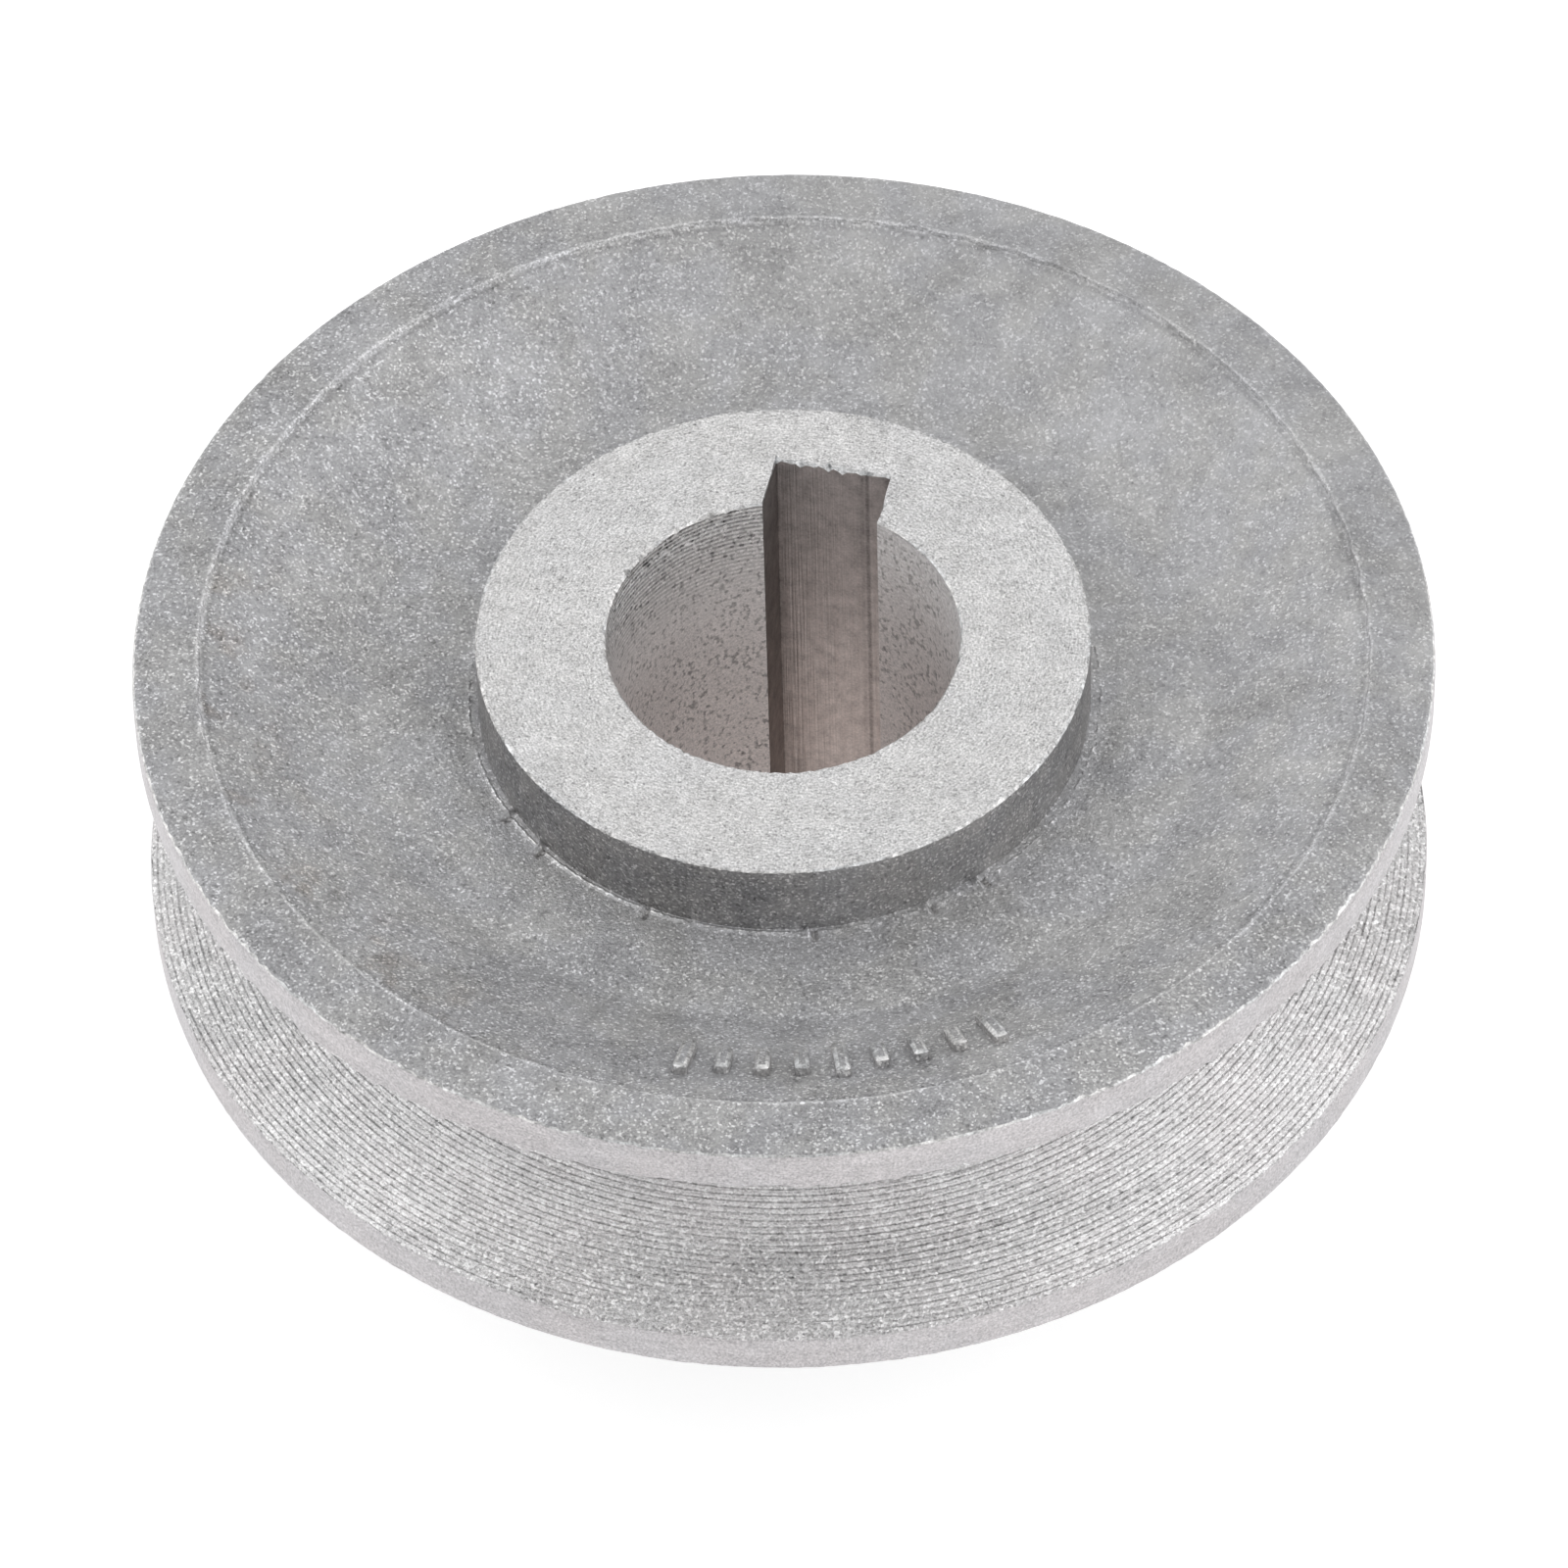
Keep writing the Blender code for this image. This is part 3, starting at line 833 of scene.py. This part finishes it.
def bored_wall():
    """The bore: satin metal with small dark pores, browner with depth and darker with depth as painted
    shade. Near the top one side has dark boring lines of painted shade in the grooves, and the rest has
    painted glints."""
    material, tree, shader = new_material("bored_wall")
    place = position(tree)
    depth = depth_share(tree)
    fine = grain(tree, place, 0.11 * MM, 3.0, 0.65)
    patches = grain(tree, place, 1.2 * MM, 2.0)
    glints = specks(tree, place, 0.12 * MM, 6.0)
    drawn = grain(tree, position(tree, (1.0, 1.0, 0.8)), 0.22 * MM, 1.0)
    pores = scaled(tree, plus(tree, drawn, patches, 0.45), 0.80, 1.15, 0.0, 1.0)

    height = add_node(tree, "ShaderNodeSeparateXYZ", {0: place}).outputs[2]
    phase = times(tree, maths(tree, "SUBTRACT", height, HUB_TOP), 2 * math.pi / BORE_PITCH)
    wave = maths(tree, "COSINE", plus(tree, phase, patches, 1.5))
    lines = scaled(tree, wave, -0.7, 0.5, 1.0, 0.0)
    lines = times(tree, lines, scaled(tree, fine, 0.2, 0.7, 0.3, 1.0))
    side = scaled(tree, facing(tree, place, BORE_LINES_SIDE), 0.0, 0.85 * BORE_RADIUS, 0.12, 1.0)
    lined = times(tree, side, scaled(tree, depth, 0.04, 0.36, 1.0, 0.0))

    value = summed(tree, 0.91, (fine, 0.46), (patches, 0.10))
    # Painted shade: darker down the bore.
    value = plus(tree, value, depth, -0.30)
    value = plus(tree, value, pores, -0.37)
    # Painted highlights: glint specks near the top.
    value = plus(tree, value, glints, scaled(tree, depth, 0.05, 0.30, 0.6, 0.0))
    value = plus(tree, value, lined, -0.12)
    # Painted shade in the boring grooves: dark lines in step with them.
    value = plus(tree, value, times(tree, lines, lined), -0.66)
    warmth = blended(tree, depth, (1.0, 1.0, 1.005, 1.0), (1.05, 0.945, 0.91, 1.0))
    colour = blended(tree, 1.0, grey(tree, value), warmth, "MULTIPLY")
    roughness = summed(tree, 0.45, (fine, 0.2))
    connect(tree, shader, colour, roughness, bump(tree, fine, 0.02 * MM), 0.6)
    return material


def broached_wall():
    """The keyway: darker, browner metal with fine lines along the broach's path, a few blotches, and dark
    lines along its floor near the +X side. Its sides are darker still, as painted shade."""
    material, tree, shader = new_material("broached_wall")
    place = position(tree)
    lines = grain(tree, position(tree, (1.0, 1.0, 0.01)), 0.10 * MM, 3.0, 0.6)
    fine = grain(tree, place, 0.12 * MM, 2.0)
    blotches = grain(tree, place, 0.7 * MM, 3.0, 0.6)
    value = summed(tree, 0.47, (lines, 0.12), (fine, 0.16), (blotches, 0.22))
    across = add_node(tree, "ShaderNodeSeparateXYZ", {0: place}).outputs[0]
    edge = KEYWAY_HALF_WIDTH
    # Painted shade: darker on the keyway's sides.
    side = scaled(tree, maths(tree, "ABSOLUTE", across), edge - 0.06 * MM, edge, 0.0, 0.20)
    value = plus(tree, value, side, -1.0)
    for inward, darker in ((0.12 * MM, 0.10), (1.02 * MM, 0.17), (1.25 * MM, 0.06)):
        line = line_at(tree, across, edge - inward, 0.04 * MM, 0.13 * MM, darker)
        value = plus(tree, value, line, -1.0)
    warmth = blended(tree, depth_share(tree), (1.04, 0.98, 0.965, 1.0), (1.05, 0.89, 0.83, 1.0))
    colour = blended(tree, 1.0, grey(tree, value), warmth, "MULTIPLY")
    roughness = summed(tree, 0.45, (lines, 0.2))
    normal = bump(tree, lines, 0.012 * MM)
    connect(tree, shader, colour, roughness, normal)
    return material


def worn_and_highlit_edge():
    """Torn corners, raised lines and the bars' shoulders: worn metal, brighter than the skin round it, and
    painted highlight.
    """
    material, tree, shader = new_material("worn_and_highlit_edge")
    place = position(tree)
    fine = grain(tree, place, 0.13 * MM, 3.0, 0.6)
    patches = grain(tree, place, 0.5 * MM, 2.0)
    value = summed(tree, 0.60, (fine, 0.6), (patches, 0.5))
    colour = tinted(tree, value, place, (0.99, 1.0, 1.01), (1.01, 1.0, 0.99), 2.0 * MM)
    roughness = summed(tree, 0.42, (fine, 0.2))
    connect(tree, shader, colour, roughness, bump(tree, fine, 0.02 * MM))
    return material


def blackened_steel():
    """Black oxide on the set screw: near black, with a dull gloss and paler worn spots."""
    material, tree, shader = new_material("blackened_steel")
    place = position(tree)
    fine = grain(tree, place, 0.12 * MM, 3.0, 0.6)
    patches = grain(tree, place, 0.8 * MM, 2.0)
    worn = specks(tree, place, 0.14 * MM, 9.0)
    value = summed(tree, 0.075, (fine, 0.05), (patches, 0.03))
    value = plus(tree, value, worn, 0.16)
    colour = tinted(tree, value, place, (0.97, 1.0, 1.05), (1.03, 1.0, 0.97), 2.0 * MM)
    roughness = summed(tree, 0.38, (fine, 0.2), (patches, 0.1))
    connect(tree, shader, colour, roughness, bump(tree, fine, 0.01 * MM), 0.85)
    return material


def floor_finish():
    """A pale matt floor that glows enough to look nearly white."""
    material, tree, shader = new_material("studio_floor")
    drift = grain(tree, position(tree), 0.2, 2.0)
    value = summed(tree, 0.5, (drift, 0.01))
    tree.links.new(grey(tree, value), shader.inputs["Base Color"])
    shader.inputs["Roughness"].default_value = 0.9
    shader.inputs["Emission Color"].default_value = (1.0, 1.0, 1.0, 1.0)
    shader.inputs["Emission Strength"].default_value = 0.7
    return material


# ---------------------------------------------------------------- the set screw, its hole and the bars

def thread(root, crest, height):
    """Radius of a V thread with flat crests and roots at each of the screw's columns, at one height."""
    turn = (height / SCREW_PITCH - ANGLES[SCREW] / (2 * math.pi)) % 1.0
    slope = (0.5 - np.abs(turn - 0.5)) * 2.0
    return root + (crest - root) * np.clip((slope - 0.2) / 0.65, 0.0, 1.0)


def hexagon(across_flats):
    """Radius of a hexagon at each of the screw's columns."""
    away = (ANGLES[SCREW] + math.pi / 6) % (math.pi / 3) - math.pi / 6
    return across_flats / 2 / np.cos(away)


def laid_along_x(mesh):
    """Turns a mesh about +Z so that it lies along +X at the screw's height."""
    mesh.transform(Matrix.Translation((0.0, 0.0, SCREW_HEIGHT)) @ Matrix.Rotation(math.pi / 2, 4, "Y"))


def set_screw_rings():
    """From the cup point's floor, round its rim, along the thread, and into the hex socket."""
    tip = BORE_RADIUS
    tail = BORE_RADIUS + SCREW_LENGTH
    shapes = [
        (0.2 * CUP_RADIUS, tip + CUP_DEPTH),
        (0.48 * CUP_RADIUS, tip + 0.75 * CUP_DEPTH),
        (0.88 * CUP_RADIUS, tip + 0.1 * CUP_DEPTH),
        (CUP_RADIUS, tip),
        (CUP_RIM_RADIUS, tip + 0.02 * MM),
    ]
    rings = [Ring(radius, along, SCREW, BLACKENED) for radius, along in shapes]
    for along in np.arange(tip + 0.08 * MM, tail - 0.03 * MM, SCREW_PITCH / 16):
        cone = np.minimum(CUP_RIM_RADIUS + (along - tip), TAIL_RADIUS + (tail - along))
        radius = np.minimum(thread(SCREW_RADIUS - THREAD_DEPTH, SCREW_RADIUS, along), cone)
        rings.append(Ring(radius, along, SCREW, BLACKENED))
    socket = hexagon(SOCKET_WIDTH)
    shapes = [
        (np.full(SCREW_COLUMNS, TAIL_RADIUS - 0.06 * MM), tail),
        (np.maximum(socket, SOCKET_MOUTH_RADIUS), tail),
        (socket, tail - (SOCKET_MOUTH_RADIUS - socket)),
        (socket, tail - SOCKET_DEPTH / 2),
        (socket, tail - SOCKET_DEPTH),
        (socket * 0.6, tail - SOCKET_DEPTH - 0.15 * MM),
        (socket * 0.1, tail - SOCKET_DEPTH - 0.4 * MM),
    ]
    rings += [Ring(radius, along, SCREW, BLACKENED) for radius, along in shapes]
    return rings[::-1]


def threaded_hole_rings():
    """What drilling and tapping take out of the hub: a thread outside the screw's, and a countersink."""
    rings = []
    for along in np.arange(BORE_RADIUS - 1.2 * MM, HUB_RADIUS + 0.6 * MM, SCREW_PITCH / 8):
        mouth = HOLE_RADIUS + along - (HUB_RADIUS - 0.55 * MM)
        radius = np.maximum(thread(HOLE_RADIUS, HOLE_RADIUS + HOLE_THREAD_DEPTH, along), mouth)
        rings.append(Ring(radius, along, SCREW, BORE))
    return rings[::-1]


def rounded_bar(made, centre, half_size, turned):
    """Adds one bevelled bar to a bmesh."""
    corners = bmesh.ops.create_cube(made, size=2.0)["verts"]
    bmesh.ops.scale(made, vec=half_size, verts=corners)
    bmesh.ops.transform(made, matrix=Matrix.Translation(centre) @ turned, verts=corners)
    edges = list({edge for corner in corners for edge in corner.link_edges})
    bmesh.ops.bevel(made, geom=edges, offset=BAR_BEVEL, segments=3, profile=0.5, affect="EDGES")


def size_mark():
    """Short raised bars across the cone, a plain cast mark with no lettering: dark sides of painted shade,
    bright shoulders of painted highlight and worn metal, and tops of the cast skin."""
    made = bmesh.new()
    slope = math.atan((DISH_FLOOR_DEPTH - LAND_STEP) / (LAND_INNER_RADIUS - DISH_FLOOR_RADIUS))
    for index, degrees in enumerate(np.linspace(MARK_FIRST, MARK_LAST, MARK_BARS)):
        half_size = (BAR_HALF_LENGTHS[index % len(BAR_HALF_LENGTHS)], BAR_HALF_WIDTH, BAR_HALF_HEIGHT)
        angle = math.radians(degrees)
        centre = Vector((math.cos(angle), math.sin(angle), 0.0)) * MARK_RADIUS
        centre.z = RIM_TOP + dish_height(MARK_RADIUS) + BAR_RISE
        turned = Matrix.Rotation(angle, 4, "Z") @ Matrix.Rotation(-slope, 4, "Y")
        rounded_bar(made, centre, half_size, turned)
    mesh = bpy.data.meshes.new("size_mark")
    made.to_mesh(mesh)
    made.free()
    for face in mesh.polygons:
        outward = face.center.xy.normalized()
        lean = face.normal.z * math.cos(slope) - face.normal.xy.dot(outward) * math.sin(slope)
        # Steep sides take the dark wall finish as painted shade, bevels the bright edge finish as painted
        # highlight.
        face.material_index = WALL if lean < 0.3 else EDGE if lean < 0.97 else CAST
    return mesh


def combine(target, mesh, operation):
    """Joins a mesh to a piece, or cuts it out, for good."""
    for material in target.data.materials:
        mesh.materials.append(material)
    other = add_object("combined", mesh)
    modifier = target.modifiers.new("combined", "BOOLEAN")
    modifier.operation = operation
    modifier.solver = "EXACT"
    modifier.object = other
    evaluated = target.evaluated_get(bpy.context.evaluated_depsgraph_get())
    result = bpy.data.meshes.new_from_object(evaluated)
    result.name = target.name
    target.modifiers.clear()
    target.data = result
    bpy.data.objects.remove(other)


# ---------------------------------------------------------------- pieces

def make_casting():
    """The whole casting, with its materials in the order of the finishes' numbers."""
    name = "v_belt_pulley_casting"
    casting = add_object(name, revolved_mesh(name, casting_rings()))
    for maker in (cast_skin, cast_wall, turned_face, turned_band):
        casting.data.materials.append(maker())
    for maker in (turned_flank, bored_wall, broached_wall, worn_and_highlit_edge):
        casting.data.materials.append(maker())
    hole = revolved_mesh("threaded_hole", threaded_hole_rings(), closed=False)
    laid_along_x(hole)
    combine(casting, hole, "DIFFERENCE")
    combine(casting, size_mark(), "UNION")
    casting.data.shade_smooth()
    casting.data.set_sharp_from_angle(angle=SHARP_ANGLE)
    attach(casting, "pulley")
    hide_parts("pulley_casting")


def make_set_screw():
    """The hub's set screw."""
    mesh = revolved_mesh("socket_set_screw", set_screw_rings(), closed=False)
    laid_along_x(mesh)
    mesh.materials.append(blackened_steel())
    mesh.shade_smooth()
    mesh.set_sharp_from_angle(angle=SCREW_SHARP_ANGLE)
    screw = add_object("socket_set_screw", mesh)
    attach(screw, "screw")
    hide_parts("set_screw")


# ---------------------------------------------------------------- studio

def make_camera():
    """The photograph's viewpoint, worked out from the pulley's circles."""
    side = math.radians(CAMERA_RIGHT)
    elevation = math.radians(CAMERA_ELEVATION)
    right = Vector((math.cos(side), math.sin(side), 0.0))
    level = Vector((-math.sin(side), math.cos(side), 0.0))
    forward = level * math.cos(elevation) - Vector((0.0, 0.0, 1.0)) * math.sin(elevation)
    up = right.cross(forward)
    place = Vector((0.0, 0.0, RIM_TOP)) - forward * CAMERA_DISTANCE
    place -= right * CAMERA_OFF_RIGHT + up * CAMERA_OFF_UP
    data = bpy.data.cameras.new("camera")
    data.sensor_width = 36.0
    data.lens = CAMERA_LENS
    data.clip_start = 0.01
    camera = bpy.data.objects.new("camera", data)
    turned = Matrix((right, up, -forward)).transposed().to_4x4()
    roll = Matrix.Rotation(math.radians(CAMERA_ROLL), 4, "Z")
    camera.matrix_world = Matrix.Translation(place) @ turned @ roll
    bpy.context.scene.collection.objects.link(camera)
    bpy.context.scene.camera = camera


def make_floor():
    """A wide floor, a hair below the pulley so that the two don't share a plane."""
    half = FLOOR_HALF_WIDTH
    low = -FLOOR_CLEARANCE
    mesh = bpy.data.meshes.new("studio_floor")
    corners = [(-half, -half, low), (half, -half, low), (half, half, low), (-half, half, low)]
    mesh.from_pydata(corners, [], [(0, 1, 2, 3)])
    mesh.materials.append(floor_finish())
    add_object("studio_floor", mesh)


def soft_light(name, place, radiance):
    """A square softbox that faces the pulley."""
    data = bpy.data.lights.new(name, "AREA")
    data.size = SOFTBOX_SIZE
    data.energy = radiance * math.pi * SOFTBOX_SIZE * SOFTBOX_SIZE
    light = bpy.data.objects.new(name, data)
    light.location = place
    light.rotation_euler = (-Vector(place)).to_track_quat("-Z", "Y").to_euler()
    bpy.context.scene.collection.objects.link(light)


def make_lights():
    """A bright world, brighter at the horizon and darker in a patch low in front, and two softboxes."""
    world = bpy.data.worlds.new("studio")
    world.use_nodes = True
    tree = world.node_tree
    direction = add_node(tree, "ShaderNodeTexCoord").outputs["Generated"]
    up = add_node(tree, "ShaderNodeSeparateXYZ", {0: direction}).outputs[2]
    dark_front = scaled(tree, facing(tree, direction, -104.0), 0.75, 0.97, 1.0, 0.3)
    background = tree.nodes["Background"]
    background.inputs["Color"].default_value = (1.0, 1.0, 1.0, 1.0)
    strength = times(tree, scaled(tree, up, 0.0, 1.0, 1.2, 0.78), dark_front)
    tree.links.new(strength, background.inputs["Strength"])
    bpy.context.scene.world = world
    bpy.context.scene.view_settings.view_transform = "Standard"
    soft_light("softbox_left", (-0.72, 0.05, 0.60), 1.8)
    soft_light("softbox_right", (0.72, 0.08, 0.60), 2.2)


make_casting()
make_set_screw()
make_camera()
make_floor()
make_lights()
